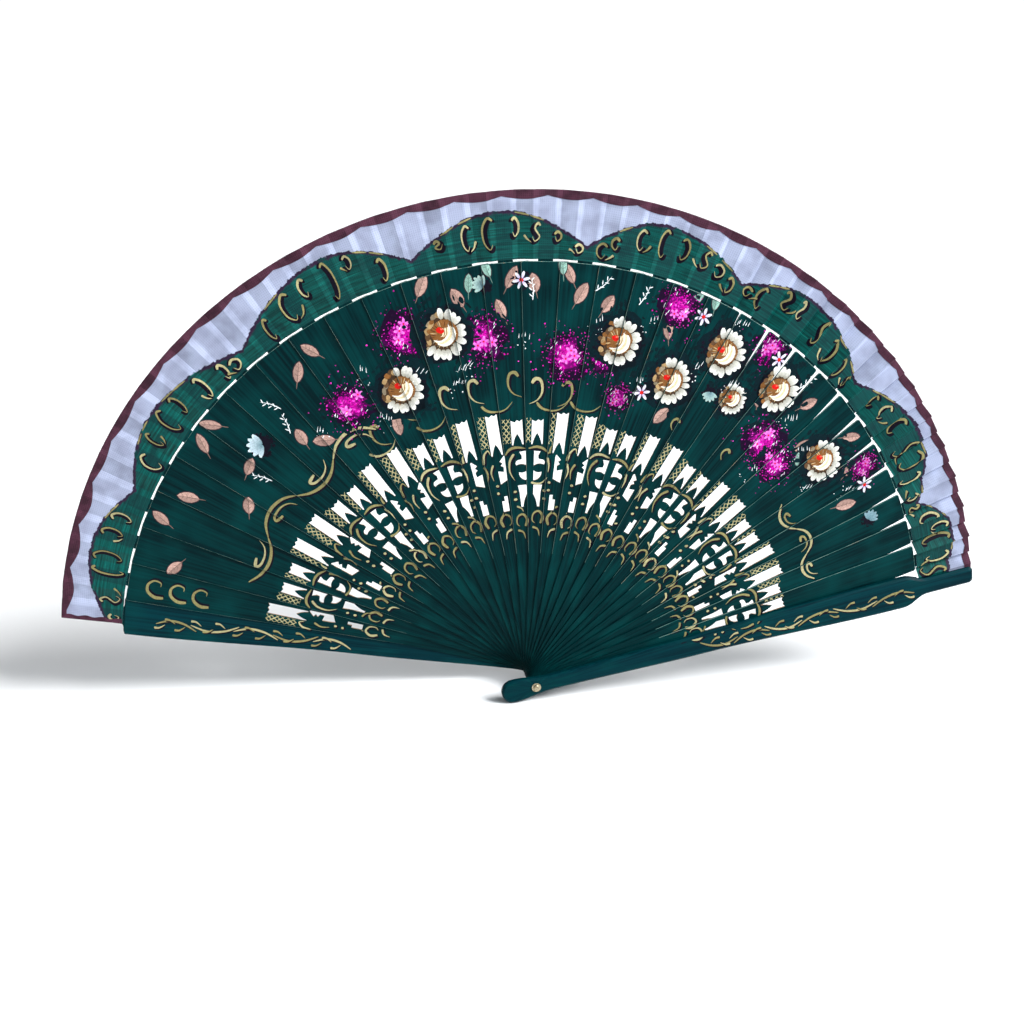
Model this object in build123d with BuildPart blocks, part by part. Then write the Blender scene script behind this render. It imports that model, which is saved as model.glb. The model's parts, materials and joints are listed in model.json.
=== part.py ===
"""Folding hand fan: pierced wooden blades between two guards on one rivet, with a pleated cloth leaf.

The fan stands open and upright: its blades spread in the XZ plane, the rivet lies along Y through
the origin, and the front of the fan faces -Y. Sticks are numbered from the rear guard (0) on the
left, through the blades, to the front guard on the right. Each stick is one flat layer, so the
blades and guards turn past each other about the rivet when the fan closes. Sizes are in millimetres.
"""
import os
from math import asin, cos, degrees, radians, sin

from build123d import *

# The whole fan
leaf_radius = 215.0  # rivet to the rim of the leaf
opening = 156.6  # degrees between the two guards' centre lines, fan open
opening_bias = 0.17  # how much further apart the blades stand near the rear guard
blade_count = 31

# Layers, counted along the rivet
blade_thickness = 0.65
guard_thickness = 2.8
layer_gap = 0.05
leaf_thickness = 0.25
leaf_clearance = 0.03  # between the cloth and the rib that it is glued to

# Blade outline
neck_width = 6.8
neck_length = 62.0  # the blade keeps its neck width up to here, then widens
shoulder_radius = 188.0
shoulder_width = 20.3
shoulder_round = 1.0

# The cloth is least stretched near the front guard and turns the blades there a little on their own
# axes, so from the front they are narrower and leave a slit beside the next blade, under the leaf
turned_after = 18  # the last blade that stands flat
turned_over = 3  # blades, from the flat ones to the fully turned ones
turned_shoulder_width = 16.4
slit_width = 1.3  # under the leaf
slit_radius = 154.0  # where the blade starts to narrow for the slit

# Rib
rib_width = 6.2
rib_thickness = 0.35
rib_end_gap = 0.4  # from the end of the rib to the leaf's edging
edge_bevel = 0.15

# Guard outline
guard_pivot_width = 7.6
guard_slim_radius = 82.0
guard_slim_outer = 5.4  # from the centre line to the outer side
guard_belly_outer = 8.6
guard_belly_radius = {"rear": 187.2, "front": 180.0}
guard_step_radius = {"rear": 189.8, "front": 193.0}  # where the belly has run into the tip
guard_inner = {"rear": 9.4, "front": 7.4}  # from the centre line to the inner side, at the belly
guard_tip_width = 8.0
guard_tip_round = 2.0
guard_bevel = 1.0
tail_length = 16.5
tail_width = 11.4
grip_start = 7.0  # above the rivet, where the tail's sides run into the grip's

# Rivet and washers
rivet_diameter = 2.0
rivet_clearance = 0.05
rivet_head_diameter = 3.0
rivet_head_height = 0.7
rivet_head_round = 0.55
washer_diameter = 4.4
washer_thickness = 0.35

# Leaf
leaf_inner_radius = 188.9
glued_half_angle = 1.02  # degrees of flat cloth on each side of a rib's centre line
pleat_share = 0.32  # where the folds lie, as a share of the angle to the next stick
fold_gap = 0.25  # degrees from the flat cloth to the next fold, at least
pleat_depth = 0.45
edging_width = 3.4
edging_thickness = 0.2

# Pierced pattern: radius of each row's lower and upper end
crown_rows = {"tall": (108.6, 127.0), "short": (112.4, 123.6)}
crown_width = 5.1
arch_rise = 5.0
prong_width = 0.55
star_row = (95.4, 108.2)
star_width = 3.9
slot_row = (82.6, 89.8)
slot_width = 2.7
ring_row = (96.2, 109.6)
ring_width = 4.9
bell_row = (84.0, 94.2)
bell_width = 3.9

last_stick = blade_count + 1
layer = blade_thickness + layer_gap
stack_depth = 2 * guard_thickness + blade_count * layer + layer_gap
rivet_hole_radius = rivet_diameter / 2 + rivet_clearance
rib_radius = leaf_radius - edging_width - rib_end_gap
edging_slot = leaf_thickness / 2 + leaf_clearance / 3
edging_half = edging_slot + edging_thickness
tip_recess = 2 * (edging_half + leaf_clearance)


def stick_angle(number):
    """Centre line of a stick, in degrees clockwise from straight up."""
    even = number / last_stick
    share = even + opening_bias * even * (1 - even)
    return opening * (share - 0.5)


def stick_plane(number, depth):
    """Plane that faces the front at a depth, with its own Y along the stick."""
    turn = radians(stick_angle(number))
    return Plane(origin=(0, depth, 0), x_dir=(cos(turn), 0, -sin(turn)), z_dir=(0, -1, 0))


def stick_back(number):
    """Depth of the rear face of a stick."""
    if number == 0:
        return stack_depth / 2
    if number == last_stick:
        return guard_thickness - stack_depth / 2
    return stack_depth / 2 - guard_thickness - layer_gap - (number - 1) * layer


def crown_hole(middle, row):
    """Tall window with a jagged crown, and two prongs beside a pointed arch of wood."""
    low, high = row
    half = crown_width / 2
    apex = (middle, low + arch_rise)
    foot = half - prong_width
    with BuildSketch() as hole:
        with BuildLine():
            Polyline(
                (middle - foot, low),
                (middle - half, low),
                (middle - half, high - 0.3),
                (middle - 0.35 * half, high - 1.1),
                (middle + 0.1 * half, high - 0.2),
                (middle + 0.5 * half, high - 0.9),
                (middle + half, high),
                (middle + half, low),
                (middle + foot, low),
            )
            ThreePointArc((middle + foot, low), (middle + 0.52 * foot, low + 0.62 * arch_rise), apex)
            ThreePointArc(apex, (middle - 0.52 * foot, low + 0.62 * arch_rise), (middle - foot, low))
        make_face()
    return hole.sketch


def star_hole(straight_side, way):
    """Upright window whose notched side shows half a star."""
    low, high = star_row
    outline = [
        (0, low + 1.7),
        (0, high - 0.5),
        (0.45, high),
        (2.0, high - 1.6),
        (2.7, high - 2.4),
        (1.5, high - 3.3),
        (2.5, high - 4.3),
        (1.2, high - 5.2),
        (1.4, high - 7.2),
        (star_width, high - 6.6),
        (star_width - 0.3, low),
    ]
    with BuildSketch() as hole:
        Polygon(*[(straight_side + way * x, y) for x, y in outline], align=None)
    return hole.sketch


def slot_hole(outer_side, way):
    """Small window with one stepped corner."""
    low, high = slot_row
    step = slot_width * 0.55
    outline = [
        (0, low), (0, high), (step, high), (step, high - 2.2), (slot_width, high - 2.0), (slot_width, low),
    ]
    with BuildSketch() as hole:
        Polygon(*[(outer_side + way * x, y) for x, y in outline], align=None)
    return hole.sketch


def ring_holes(inner_side, way):
    """The two windows that leave half a ring, joined by a curl."""
    low, high = ring_row

    def at(x, y):
        return (inner_side + way * x, y)

    with BuildSketch() as holes:
        with BuildLine():
            Polyline(
                at(0, high - 6.8), at(0, high), at(3.0, high - 0.3), at(2.0, high - 2.2),
                at(2.1, high - 3.6), at(3.4, high - 3.9),
            )
            ThreePointArc(at(3.4, high - 3.9), at(4.5, high - 4.4), at(ring_width, high - 5.6))
            Line(at(ring_width, high - 5.6), at(4.6, high - 6.4))
            ThreePointArc(at(4.6, high - 6.4), at(2.4, high - 5.9), at(0, high - 6.8))
        make_face()
        with BuildLine():
            Line(at(0, low), at(0, low + 4.6))
            ThreePointArc(at(0, low + 4.6), at(2.0, low + 3.7), at(3.6, low + 4.0))
            ThreePointArc(at(3.6, low + 4.0), at(2.9, low + 1.4), at(1.0, low + 0.1))
            Line(at(1.0, low + 0.1), at(0, low))
        make_face()
    return holes.sketch


def bell_hole(inner_side, way):
    """Bell-shaped window that hangs below the ring."""
    low, high = bell_row

    def at(x, y):
        return (inner_side + way * x, y)

    with BuildSketch() as hole:
        with BuildLine():
            Polyline(
                at(1.9, low), at(2.9, low), at(3.3, high - 3.4), at(bell_width, high), at(0, high),
                at(-0.1, high - 4.2),
            )
            ThreePointArc(at(-0.1, high - 4.2), at(1.1, high - 6.6), at(1.9, low))
        make_face()
    return hole.sketch


def windows(number):
    """The windows of one blade. The pattern repeats after four blades and is mirrored within them."""
    tall, short = crown_rows["tall"], crown_rows["short"]
    patterns = [
        [crown_hole(-1.1, tall), star_hole(-2.1, 1), slot_hole(-2.5, 1)],
        [crown_hole(0.65, tall), star_hole(3.8, -1), slot_hole(2.2, -1)],
        [crown_hole(0.35, short), ring_holes(3.7, -1), bell_hole(3.1, -1)],
        [crown_hole(-1.1, short), ring_holes(-2.3, 1), bell_hole(-2.1, 1)],
    ]
    return patterns[number % len(patterns)]


def slit_edge(number):
    """Distance from a turned blade's centre line to the slit beside it, at the shoulder."""
    step = radians(stick_angle(number + 1) - stick_angle(number)) * shoulder_radius
    following = guard_inner["front"] if number == blade_count else turned_shoulder_width / 2
    return max(step - following - slit_width, rib_width / 2)


def make_blade(number):
    """One blade: round head, neck, pierced body and the thin rib that carries the cloth."""
    plane = stick_plane(number, stick_back(number))
    turned = min(max((number - turned_after) / turned_over, 0), 1)
    half_neck = neck_width / 2
    half_shoulder = (shoulder_width + turned * (turned_shoulder_width - shoulder_width)) / 2
    half_free = half_shoulder + turned * (slit_edge(number) - half_shoulder)
    widening = (half_shoulder - half_neck) / (shoulder_radius - neck_length)
    outline = [
        (-half_neck, 0),
        (-half_neck, neck_length),
        (-half_shoulder, shoulder_radius),
        (half_free, shoulder_radius),
        (half_neck + widening * (slit_radius - neck_length), slit_radius),
        (half_neck, neck_length),
        (half_neck, 0),
    ]
    with BuildPart() as blade:
        with BuildSketch(plane):
            Circle(half_neck)
            Polygon(*outline, align=None)
        extrude(amount=blade_thickness)
        fillet(blade.edges().filter_by(Axis.Y).sort_by_distance((0, 0, 0))[-2:], shoulder_round)
        front = blade.faces().sort_by(Axis.Y)[0]
        chamfer(front.edges().filter_by(lambda edge: edge.length > neck_width), edge_bevel)
        with BuildSketch(plane):
            with Locations((0, (neck_length + rib_radius) / 2)):
                Rectangle(rib_width, rib_radius - neck_length)
        extrude(amount=rib_thickness)
        with BuildSketch(plane):
            Circle(rivet_hole_radius)
            add(windows(number))
        extrude(amount=blade_thickness, mode=Mode.SUBTRACT)
    return blade.part


def guard_outline(which, inset):
    """Outline of the rear or front guard, its outer side at +X, drawn in by the inset."""
    belly_radius = guard_belly_radius[which]
    step_radius = guard_step_radius[which]
    pivot = guard_pivot_width / 2 - inset
    tip = guard_tip_width / 2 - inset
    tail = tail_width / 2 - inset
    belly = guard_belly_outer - inset
    slim = guard_slim_outer - inset
    inner = guard_inner[which] - inset
    top = leaf_radius - inset
    corner = guard_tip_round - inset / 2
    bulge = corner * (1 - sin(radians(45)))
    tail_start = tail_width / 2 - tail_length
    outer_side = [
        (tip, step_radius), (belly, belly_radius), (slim, guard_slim_radius),
        (pivot, grip_start), (tail, tail_start),
    ]
    inner_side = [
        (-tail, tail_start), (-pivot, grip_start), (-inner, belly_radius), (-tip, step_radius),
    ]
    with BuildSketch() as outline:
        with BuildLine():
            Line((-tip, step_radius), (-tip, top - corner))
            ThreePointArc((-tip, top - corner), (bulge - tip, top - bulge), (corner - tip, top))
            Line((corner - tip, top), (tip - corner, top))
            ThreePointArc((tip - corner, top), (tip - bulge, top - bulge), (tip, top - corner))
            Line((tip, top - corner), outer_side[0])
            for start, end in zip(outer_side, outer_side[1:]):
                Spline(start, end, tangents=[(0, -1), (0, -1)])
            ThreePointArc((tail, tail_start), (0, inset - tail_length), (-tail, tail_start))
            for start, end in zip(inner_side, inner_side[1:]):
                Spline(start, end, tangents=[(0, 1), (0, 1)])
        make_face()
    return outline.sketch


def make_guard(number):
    """A guard with bevelled edges on its outer face, and a recess behind its tip for the cloth."""
    plane = stick_plane(number, stick_back(number))
    if number == 0:
        inner_face = Plane(origin=(0, stick_back(0) - guard_thickness, 0), x_dir=-plane.x_dir, z_dir=(0, 1, 0))
        which = "rear"
    else:
        inner_face = plane
        which = "front"
    with BuildPart() as guard:
        with BuildSketch(inner_face):
            add(guard_outline(which, 0))
        extrude(amount=guard_thickness - guard_bevel)
        with BuildSketch(inner_face.offset(guard_thickness - guard_bevel)):
            add(guard_outline(which, 0))
        with BuildSketch(inner_face.offset(guard_thickness)):
            add(guard_outline(which, guard_bevel))
        loft()
        with BuildSketch(inner_face):
            Circle(rivet_hole_radius)
        extrude(amount=guard_thickness, mode=Mode.SUBTRACT)
        with BuildSketch(inner_face):
            with Locations((0, leaf_radius)):
                Rectangle(4 * guard_tip_width, 2 * (leaf_radius - shoulder_radius))
        extrude(amount=tip_recess, mode=Mode.SUBTRACT)
    return guard.part


def leaf_depth(number):
    """Depth of the middle of the cloth where it is glued to a stick."""
    if number == 0:
        return stack_depth / 2 - guard_thickness + tip_recess / 2
    if number == last_stick:
        return stick_back(number) - tip_recess / 2
    return stick_back(number) - rib_thickness - leaf_clearance - leaf_thickness / 2


def flat_half_angle(number):
    """Degrees of flat cloth on each side of a stick's centre line."""
    if number in (0, last_stick):
        return degrees(asin((guard_tip_width / 2 + leaf_clearance) / leaf_inner_radius))
    return glued_half_angle


def leaf_folds():
    """(clockwise angle, depth) of each line across the leaf, from the rear guard to the front one."""
    end_half_angle = degrees(asin(guard_tip_width / 2 / leaf_radius))
    lines = [(stick_angle(0) - end_half_angle, leaf_depth(0))]
    for number in range(last_stick + 1):
        angle, depth = stick_angle(number), leaf_depth(number)
        flat = flat_half_angle(number)
        if number > 0:
            back = angle - stick_angle(number - 1)
            lines.append((angle - max(pleat_share * back, flat + fold_gap), depth - pleat_depth))
            lines.append((angle - flat, depth))
        if number < last_stick:
            ahead = stick_angle(number + 1) - angle
            lines.append((angle + flat, depth))
            lines.append((angle + max(pleat_share * ahead, flat + fold_gap), depth + pleat_depth))
    return lines + [(stick_angle(last_stick) + end_half_angle, leaf_depth(last_stick))]


def fold_plane(angle, depth):
    """Plane across the leaf at a fold, its own X outward from the rivet and its own Y to the rear."""
    turn = radians(angle)
    return Plane(origin=(0, depth, 0), x_dir=(sin(turn), 0, cos(turn)), z_dir=(-cos(turn), 0, sin(turn)))


parts = {}
parts["rear_guard"] = make_guard(0)
for blade_number in range(1, blade_count + 1):
    parts[f"blade_{blade_number:02d}"] = make_blade(blade_number)
parts["front_guard"] = make_guard(last_stick)

# One rivet with a domed head at each end; the front washer turns freely under its head.
seat = stack_depth / 2 + washer_thickness
with BuildPart() as rivet:
    with BuildSketch(Plane.XZ.offset(-seat)):
        Circle(rivet_diameter / 2)
    extrude(amount=2 * seat + layer_gap)
    for head_plane in (Plane.XZ.offset(seat + layer_gap), Plane.XZ.offset(-seat).rotated((180, 0, 0))):
        with BuildSketch(head_plane):
            Circle(rivet_head_diameter / 2)
        extrude(amount=rivet_head_height)
    rims = rivet.edges().filter_by(GeomType.CIRCLE).sort_by(Axis.Y)
    fillet([rims[0], rims[-1]], rivet_head_round)
parts["rivet"] = rivet.part

for name, low_side in (("rear_washer", stack_depth / 2), ("front_washer", -seat - layer_gap)):
    with BuildPart() as washer:
        with BuildSketch(Plane.XZ.offset(-low_side)):
            Circle(washer_diameter / 2)
            Circle(rivet_hole_radius, mode=Mode.SUBTRACT)
        extrude(amount=-washer_thickness)
    parts[name] = washer.part

cloth_end = leaf_radius - edging_thickness
with BuildPart() as leaf:
    for fold_angle, fold_depth in leaf_folds():
        with BuildSketch(fold_plane(fold_angle, fold_depth)):
            with Locations(((leaf_inner_radius + cloth_end) / 2, 0)):
                Rectangle(cloth_end - leaf_inner_radius, leaf_thickness)
    loft(ruled=True)
parts["leaf"] = leaf.part

binding_start = leaf_radius - edging_width
with BuildPart() as leaf_edging:
    for fold_angle, fold_depth in leaf_folds():
        with BuildSketch(fold_plane(fold_angle, fold_depth)):
            Polygon(
                (binding_start, -edging_half), (leaf_radius, -edging_half),
                (leaf_radius, edging_half), (binding_start, edging_half),
                (binding_start, edging_slot), (cloth_end, edging_slot),
                (cloth_end, -edging_slot), (binding_start, -edging_slot),
                align=None,
            )
    loft(ruled=True)
parts["leaf_edging"] = leaf_edging.part

os.makedirs("parts", exist_ok=True)
for name, part in parts.items():
    part.label = name
    export_step(part, f"parts/{name}.step")
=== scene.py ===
"""Looks of the painted folding fan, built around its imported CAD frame.

Everything is in metres in the CAD frame; the painting and the cloth are laid out in millimetres in the
fan's plane, x to the right and z up from the rivet, and are turned into metres as meshes are made.
"""
import json
import random
from math import asin, atan2, cos, degrees, hypot, pi, radians, sin, sqrt, tau

import bpy
import numpy as np
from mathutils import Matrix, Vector
from mathutils.bvhtree import BVHTree

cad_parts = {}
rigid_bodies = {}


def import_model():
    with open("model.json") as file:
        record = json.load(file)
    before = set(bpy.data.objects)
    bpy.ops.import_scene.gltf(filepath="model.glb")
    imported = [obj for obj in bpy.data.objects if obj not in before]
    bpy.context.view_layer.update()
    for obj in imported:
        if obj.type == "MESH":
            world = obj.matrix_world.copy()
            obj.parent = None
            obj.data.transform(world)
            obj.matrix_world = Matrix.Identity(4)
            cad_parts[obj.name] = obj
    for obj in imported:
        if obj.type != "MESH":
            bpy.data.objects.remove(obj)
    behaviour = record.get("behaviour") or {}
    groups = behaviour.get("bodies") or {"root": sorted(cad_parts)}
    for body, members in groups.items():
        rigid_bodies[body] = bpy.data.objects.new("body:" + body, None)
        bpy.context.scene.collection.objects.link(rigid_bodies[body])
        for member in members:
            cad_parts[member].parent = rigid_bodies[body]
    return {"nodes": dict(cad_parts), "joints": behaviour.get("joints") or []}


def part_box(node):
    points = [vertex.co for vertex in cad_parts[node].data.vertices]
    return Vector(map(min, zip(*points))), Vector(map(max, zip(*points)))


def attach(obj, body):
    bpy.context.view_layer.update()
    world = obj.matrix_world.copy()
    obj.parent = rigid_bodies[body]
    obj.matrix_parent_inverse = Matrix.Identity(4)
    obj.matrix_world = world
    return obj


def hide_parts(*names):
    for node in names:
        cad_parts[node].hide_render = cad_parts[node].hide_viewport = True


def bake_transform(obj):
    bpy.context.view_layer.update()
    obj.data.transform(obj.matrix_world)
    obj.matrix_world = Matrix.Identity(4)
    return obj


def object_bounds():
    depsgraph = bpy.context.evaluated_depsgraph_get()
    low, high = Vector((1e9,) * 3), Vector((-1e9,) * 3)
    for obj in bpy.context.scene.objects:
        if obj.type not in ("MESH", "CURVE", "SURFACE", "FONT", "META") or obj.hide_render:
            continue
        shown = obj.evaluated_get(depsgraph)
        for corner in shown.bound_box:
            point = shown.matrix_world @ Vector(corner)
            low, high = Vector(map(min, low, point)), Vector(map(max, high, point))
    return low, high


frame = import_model()
cad_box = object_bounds()

MM = 0.001

# ---------------------------------------------------------------- the frame's sticks
links = {joint["parent"]: joint for joint in frame["joints"]}
STICKS = ["rear_guard"]
STEPS = []
while STICKS[-1] in links:
    link = links[STICKS[-1]]
    STEPS.append(abs(link["range_deg"][0]))
    STICKS.append(link["child"])
LAST = len(STICKS) - 1
ANGLES = [-sum(STEPS) / 2]
for step in STEPS:
    ANGLES.append(ANGLES[-1] + step)


def face_depth(stick):
    """Depth, in mm, of the side of a stick that faces the front."""
    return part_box(STICKS[stick])[0].y / MM


def back_depth(stick):
    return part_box(STICKS[stick])[1].y / MM


# Sizes repeated from the CAD source, in mm
NECK, NECK_LENGTH = 3.4, 62.0
SHOULDER_RADIUS, SHOULDER, TURNED_SHOULDER = 188.0, 10.15, 8.2
TURNED_AFTER, TURNED_OVER = 18, 3
SLIT_RADIUS, SLIT_WIDTH, RIB_HALF = 154.0, 1.3, 3.1
FRONT_GUARD_INNER = 7.4
RIB_THICKNESS, CLOTH, CLOTH_GAP, TIP_RECESS = 0.35, 0.25, 0.03, 0.73
LEAF_IN, LEAF_OUT = 188.9, 215.0
FLAT, PLEAT_SHARE, FOLD_GAP = 1.02, 0.32, 0.25
GUARD_TIP = 8.0

# Layout of the looks: mm, with radii from the rivet, and degrees
LEFT_EDGE = 3.1  # degrees from a blade's middle to the left edge of what shows of it
PIERCED_FROM, PIERCED_TO = 80, 128  # radii of the zone that is cut through
WHOLE_FROM = 132  # radius beyond which no paint can hang over a hole
PAINT_END = 189  # radius beyond which nothing is painted on a stick
PAINT_SWEEP = 6  # degrees to either side of a stick within which paint can touch it
PAINT_INSET, AHEAD_INSET = 0.16, 0.4  # paint stops this far from an edge, and goes this far under the next stick
FILM_FOOT, FILM_LOW, FILM_RISE = 0.004, 0.008, 0.034  # lift of a film's underside, and of its lowest and top faces
LEAF_FILM_LOW, LEAF_FILM_RISE, LEAF_FILM_COUNT = 0.05, 0.003, 30
EDGING_COVER = 3.2  # of the leaf, under the edging
SHALLOW_PLEAT, DEEP_PLEAT, GUARD_PLEAT = 0.5, 1.9, 0.4
DEEPER_AFTER, DEEPER_OVER = 16, 8  # gaps


def lerp(a, b, t):
    return a + (b - a) * t


def smooth(t):
    t = min(max(t, 0.0), 1.0)
    return t * t * (3 - 2 * t)


def polar(angle, radius):
    """Point of the fan's plane at a clockwise angle from straight up, in degrees, and a radius."""
    a = radians(angle)
    return (sin(a) * radius, cos(a) * radius)


def local(stick, x, y):
    """Point of the fan's plane from a place on a stick: x to the right of its middle, y from the rivet."""
    a = radians(ANGLES[stick])
    return (x * cos(a) + y * sin(a), -x * sin(a) + y * cos(a))


def linked(name, data):
    """New object of the scene."""
    thing = bpy.data.objects.new(name, data)
    bpy.context.scene.collection.objects.link(thing)
    return thing


def turned(stick):
    return min(max((stick - TURNED_AFTER) / TURNED_OVER, 0), 1)


def half_shoulder(stick):
    return lerp(SHOULDER, TURNED_SHOULDER, turned(stick))


def half_width(stick, y):
    """Half the width of a blade at a radius."""
    return lerp(NECK, half_shoulder(stick), (y - NECK_LENGTH) / (SHOULDER_RADIUS - NECK_LENGTH))


def slit_edge(stick):
    step = radians(STEPS[stick]) * SHOULDER_RADIUS
    following = FRONT_GUARD_INNER if stick == LAST - 1 else TURNED_SHOULDER
    return max(step - following - SLIT_WIDTH, RIB_HALF)


def spot(place, radius):
    """Point of the plane from a blade number with a fraction of its visible width, and a radius."""
    stick = min(int(place), LAST - 1)
    return polar(ANGLES[stick] + (place - stick) * STEPS[stick] - LEFT_EDGE, radius)


# ---------------------------------------------------------------- node helpers
def srgb(r, g, b):
    """Linear colour from 8-bit sRGB."""
    def one(c):
        c /= 255
        return c / 12.92 if c <= 0.04045 else ((c + 0.055) / 1.055) ** 2.4
    return (one(r), one(g), one(b))


class Nodes:
    """A material's node tree, with short calls for what this scene needs."""

    def __init__(self, name, roughness=0.5, specular=0.5, metallic=0.0):
        self.material = bpy.data.materials.new(name)
        self.material.use_nodes = True
        self.tree = self.material.node_tree
        self.shader = self.tree.nodes["Principled BSDF"]
        self.set(self.shader, "Roughness", roughness)
        self.set(self.shader, "Specular IOR Level", specular)
        self.set(self.shader, "Metallic", metallic)

    def set(self, node, socket, value):
        if isinstance(value, bpy.types.NodeSocket):
            self.tree.links.new(value, node.inputs[socket])
        elif isinstance(value, tuple) and len(value) == 3 and node.inputs[socket].type == "RGBA":
            node.inputs[socket].default_value = (*value, 1)
        else:
            node.inputs[socket].default_value = value

    def new(self, kind, out=0, props=None, **inputs):
        node = self.tree.nodes.new(kind)
        for key, value in (props or {}).items():
            setattr(node, key, value)
        for key, value in inputs.items():
            self.set(node, int(key[1:]) if key[1:].isdigit() else key.replace("_", " "), value)
        return node.outputs[out]

    def position(self):
        return self.new("ShaderNodeTexCoord", "Object")

    def attribute(self, name, out="Fac"):
        return self.new("ShaderNodeAttribute", out, {"attribute_name": name})

    def math(self, how, a, b=0.0, c=0.0):
        return self.new("ShaderNodeMath", 0, {"operation": how}, i0=a, i1=b, i2=c)

    def noise(self, vector, scale, detail=3.0, rough=0.55):
        return self.new("ShaderNodeTexNoise", "Fac", None, Vector=vector, Scale=scale, Detail=detail,
                        Roughness=rough)

    def wave(self, vector, scale, axis="X", distortion=0.0):
        return self.new("ShaderNodeTexWave", "Fac", {"wave_type": "BANDS", "bands_direction": axis},
                        Vector=vector, Scale=scale, Distortion=distortion)

    def join(self, x, y, z):
        return self.new("ShaderNodeCombineXYZ", 0, None, X=x, Y=y, Z=z)

    def split(self, vector):
        node = self.tree.nodes.new("ShaderNodeSeparateXYZ")
        self.set(node, "Vector", vector)
        return node.outputs

    def ramp(self, value, low, high, out_low=0.0, out_high=1.0):
        node = self.tree.nodes.new("ShaderNodeMapRange")
        node.interpolation_type = "SMOOTHSTEP"
        for socket, given in (("Value", value), ("From Min", low), ("From Max", high),
                              ("To Min", out_low), ("To Max", out_high)):
            self.set(node, socket, given)
        return node.outputs["Result"]

    def mix(self, share, a, b, how="MIX"):
        node = self.tree.nodes.new("ShaderNodeMix")
        node.data_type = "RGBA"
        node.blend_type = how
        sockets = node.inputs
        for index, value in ((0, share), (6, a), (7, b)):
            if isinstance(value, bpy.types.NodeSocket):
                self.tree.links.new(value, sockets[index])
            else:
                sockets[index].default_value = (*value, 1) if isinstance(value, tuple) else value
        return node.outputs[2]

    def polar_vector(self):
        """Coordinates that run along a stick: arc, radius and depth, in mm, from the rest position."""
        x, y, z = self.split(self.position())
        radius = self.math("MULTIPLY", self.math("SQRT", self.math(
            "ADD", self.math("MULTIPLY", x, x), self.math("MULTIPLY", z, z))), 1000.0)
        angle = self.math("ARCTAN2", x, z)
        return self.join(self.math("MULTIPLY", angle, 180.0), radius, self.math("MULTIPLY", y, 1000.0))

    def scale(self, vector, sx, sy, sz):
        return self.new("ShaderNodeVectorMath", 0, {"operation": "MULTIPLY"}, i0=vector, i1=(sx, sy, sz))

    def finish(self, colour, roughness=None, bump=None, strength=0.3, distance=0.0001):
        self.set(self.shader, "Base Color", colour)
        if roughness is not None:
            self.set(self.shader, "Roughness", roughness)
        if bump is not None:
            self.set(self.shader, "Normal", self.new(
                "ShaderNodeBump", "Normal", None, Height=bump, Strength=strength, Distance=distance))
        return self.material


# ---------------------------------------------------------------- materials
def lacquer(name, tint_a, tint_b):
    """Thin lacquer brushed along the stick over close-grained wood."""
    m = Nodes(name, specular=0.04)
    v = m.polar_vector()
    grain = m.noise(m.scale(v, 2.2, 0.045, 1.3), 1.0, 5.0, 0.6)
    streak = m.noise(m.scale(v, 0.9, 0.02, 1.3), 1.0, 2.0, 0.5)
    patch = m.noise(m.scale(v, 0.05, 0.05, 0.7), 1.0, 2.0, 0.5)
    fine = m.noise(v, 4.0, 3.0, 0.6)
    colour = m.mix(m.ramp(streak, 0.32, 0.68), tint_a, tint_b)
    colour = m.mix(m.ramp(patch, 0.4, 0.75, 0.0, 0.5), colour, srgb(0, 62, 62))
    colour = m.mix(m.ramp(grain, 0.55, 0.72, 0.0, 0.4), colour, srgb(0, 16, 20))
    rough = m.ramp(m.math("ADD", streak, m.math("MULTIPLY", fine, 0.4)), 0.4, 0.95, 0.3, 0.5)
    height = m.math("ADD", m.math("MULTIPLY", grain, 0.7), m.math("MULTIPLY", fine, 0.25))
    return m.finish(colour, rough, height, 0.35, 0.00006)


def raw_wood():
    """Pale cut wood where the lacquer missed the walls of the pierced pattern."""
    m = Nodes("cut_wood", specular=0.25)
    v = m.polar_vector()
    layers = m.noise(m.scale(v, 0.6, 0.25, 9.0), 1.0, 4.0, 0.6)
    stain = m.noise(v, 0.55, 3.0, 0.6)
    colour = m.mix(m.ramp(layers, 0.35, 0.7), srgb(176, 146, 116), srgb(140, 108, 80))
    colour = m.mix(m.ramp(stain, 0.5, 0.62), colour, srgb(14, 62, 58))
    return m.finish(colour, m.ramp(stain, 0.4, 0.7, 0.75, 0.5), layers, 0.5, 0.00008)


def edge_wear_and_highlight():
    """Lacquer rubbed thin along the bevels, with pale wood showing here and there, over a teal lighter than the blades'
    face that is painted highlight along each edge.
    """
    m = Nodes("edge_wear_and_highlight", specular=0.3)
    v = m.polar_vector()
    wear_and_highlight = m.noise(m.scale(v, 1.0, 0.12, 1.0), 1.0, 4.0, 0.65)
    # the lighter teal is painted highlight on the bevels; the pale wood is where the lacquer is rubbed through
    colour = m.mix(m.ramp(wear_and_highlight, 0.35, 0.55), srgb(20, 84, 82), srgb(96, 128, 120))
    colour = m.mix(m.ramp(wear_and_highlight, 0.58, 0.68), colour, srgb(168, 150, 122))
    return m.finish(colour, m.ramp(wear_and_highlight, 0.3, 0.7, 0.35, 0.6), wear_and_highlight, 0.3, 0.00005)


def paint_material():
    """Opaque artist's paint laid on in separate strokes; its colour is kept on the strokes."""
    m = Nodes("artist_paint", specular=0.07)
    v = m.polar_vector()
    colour = m.attribute("paint", "Color")
    mottle = m.noise(v, 1.4, 4.0, 0.65)
    bristle = m.noise(m.scale(v, 2.6, 2.6, 2.6), 1.0, 2.0, 0.5)
    shade = m.ramp(mottle, 0.3, 0.72, 0.72, 1.12)
    colour = m.mix(1.0, colour, m.join(shade, shade, shade), "MULTIPLY")
    height = m.math("ADD", mottle, m.math("MULTIPLY", bristle, 0.6))
    return m.finish(colour, m.ramp(bristle, 0.3, 0.7, 0.32, 0.6), height, 0.6, 0.0001)


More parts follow.
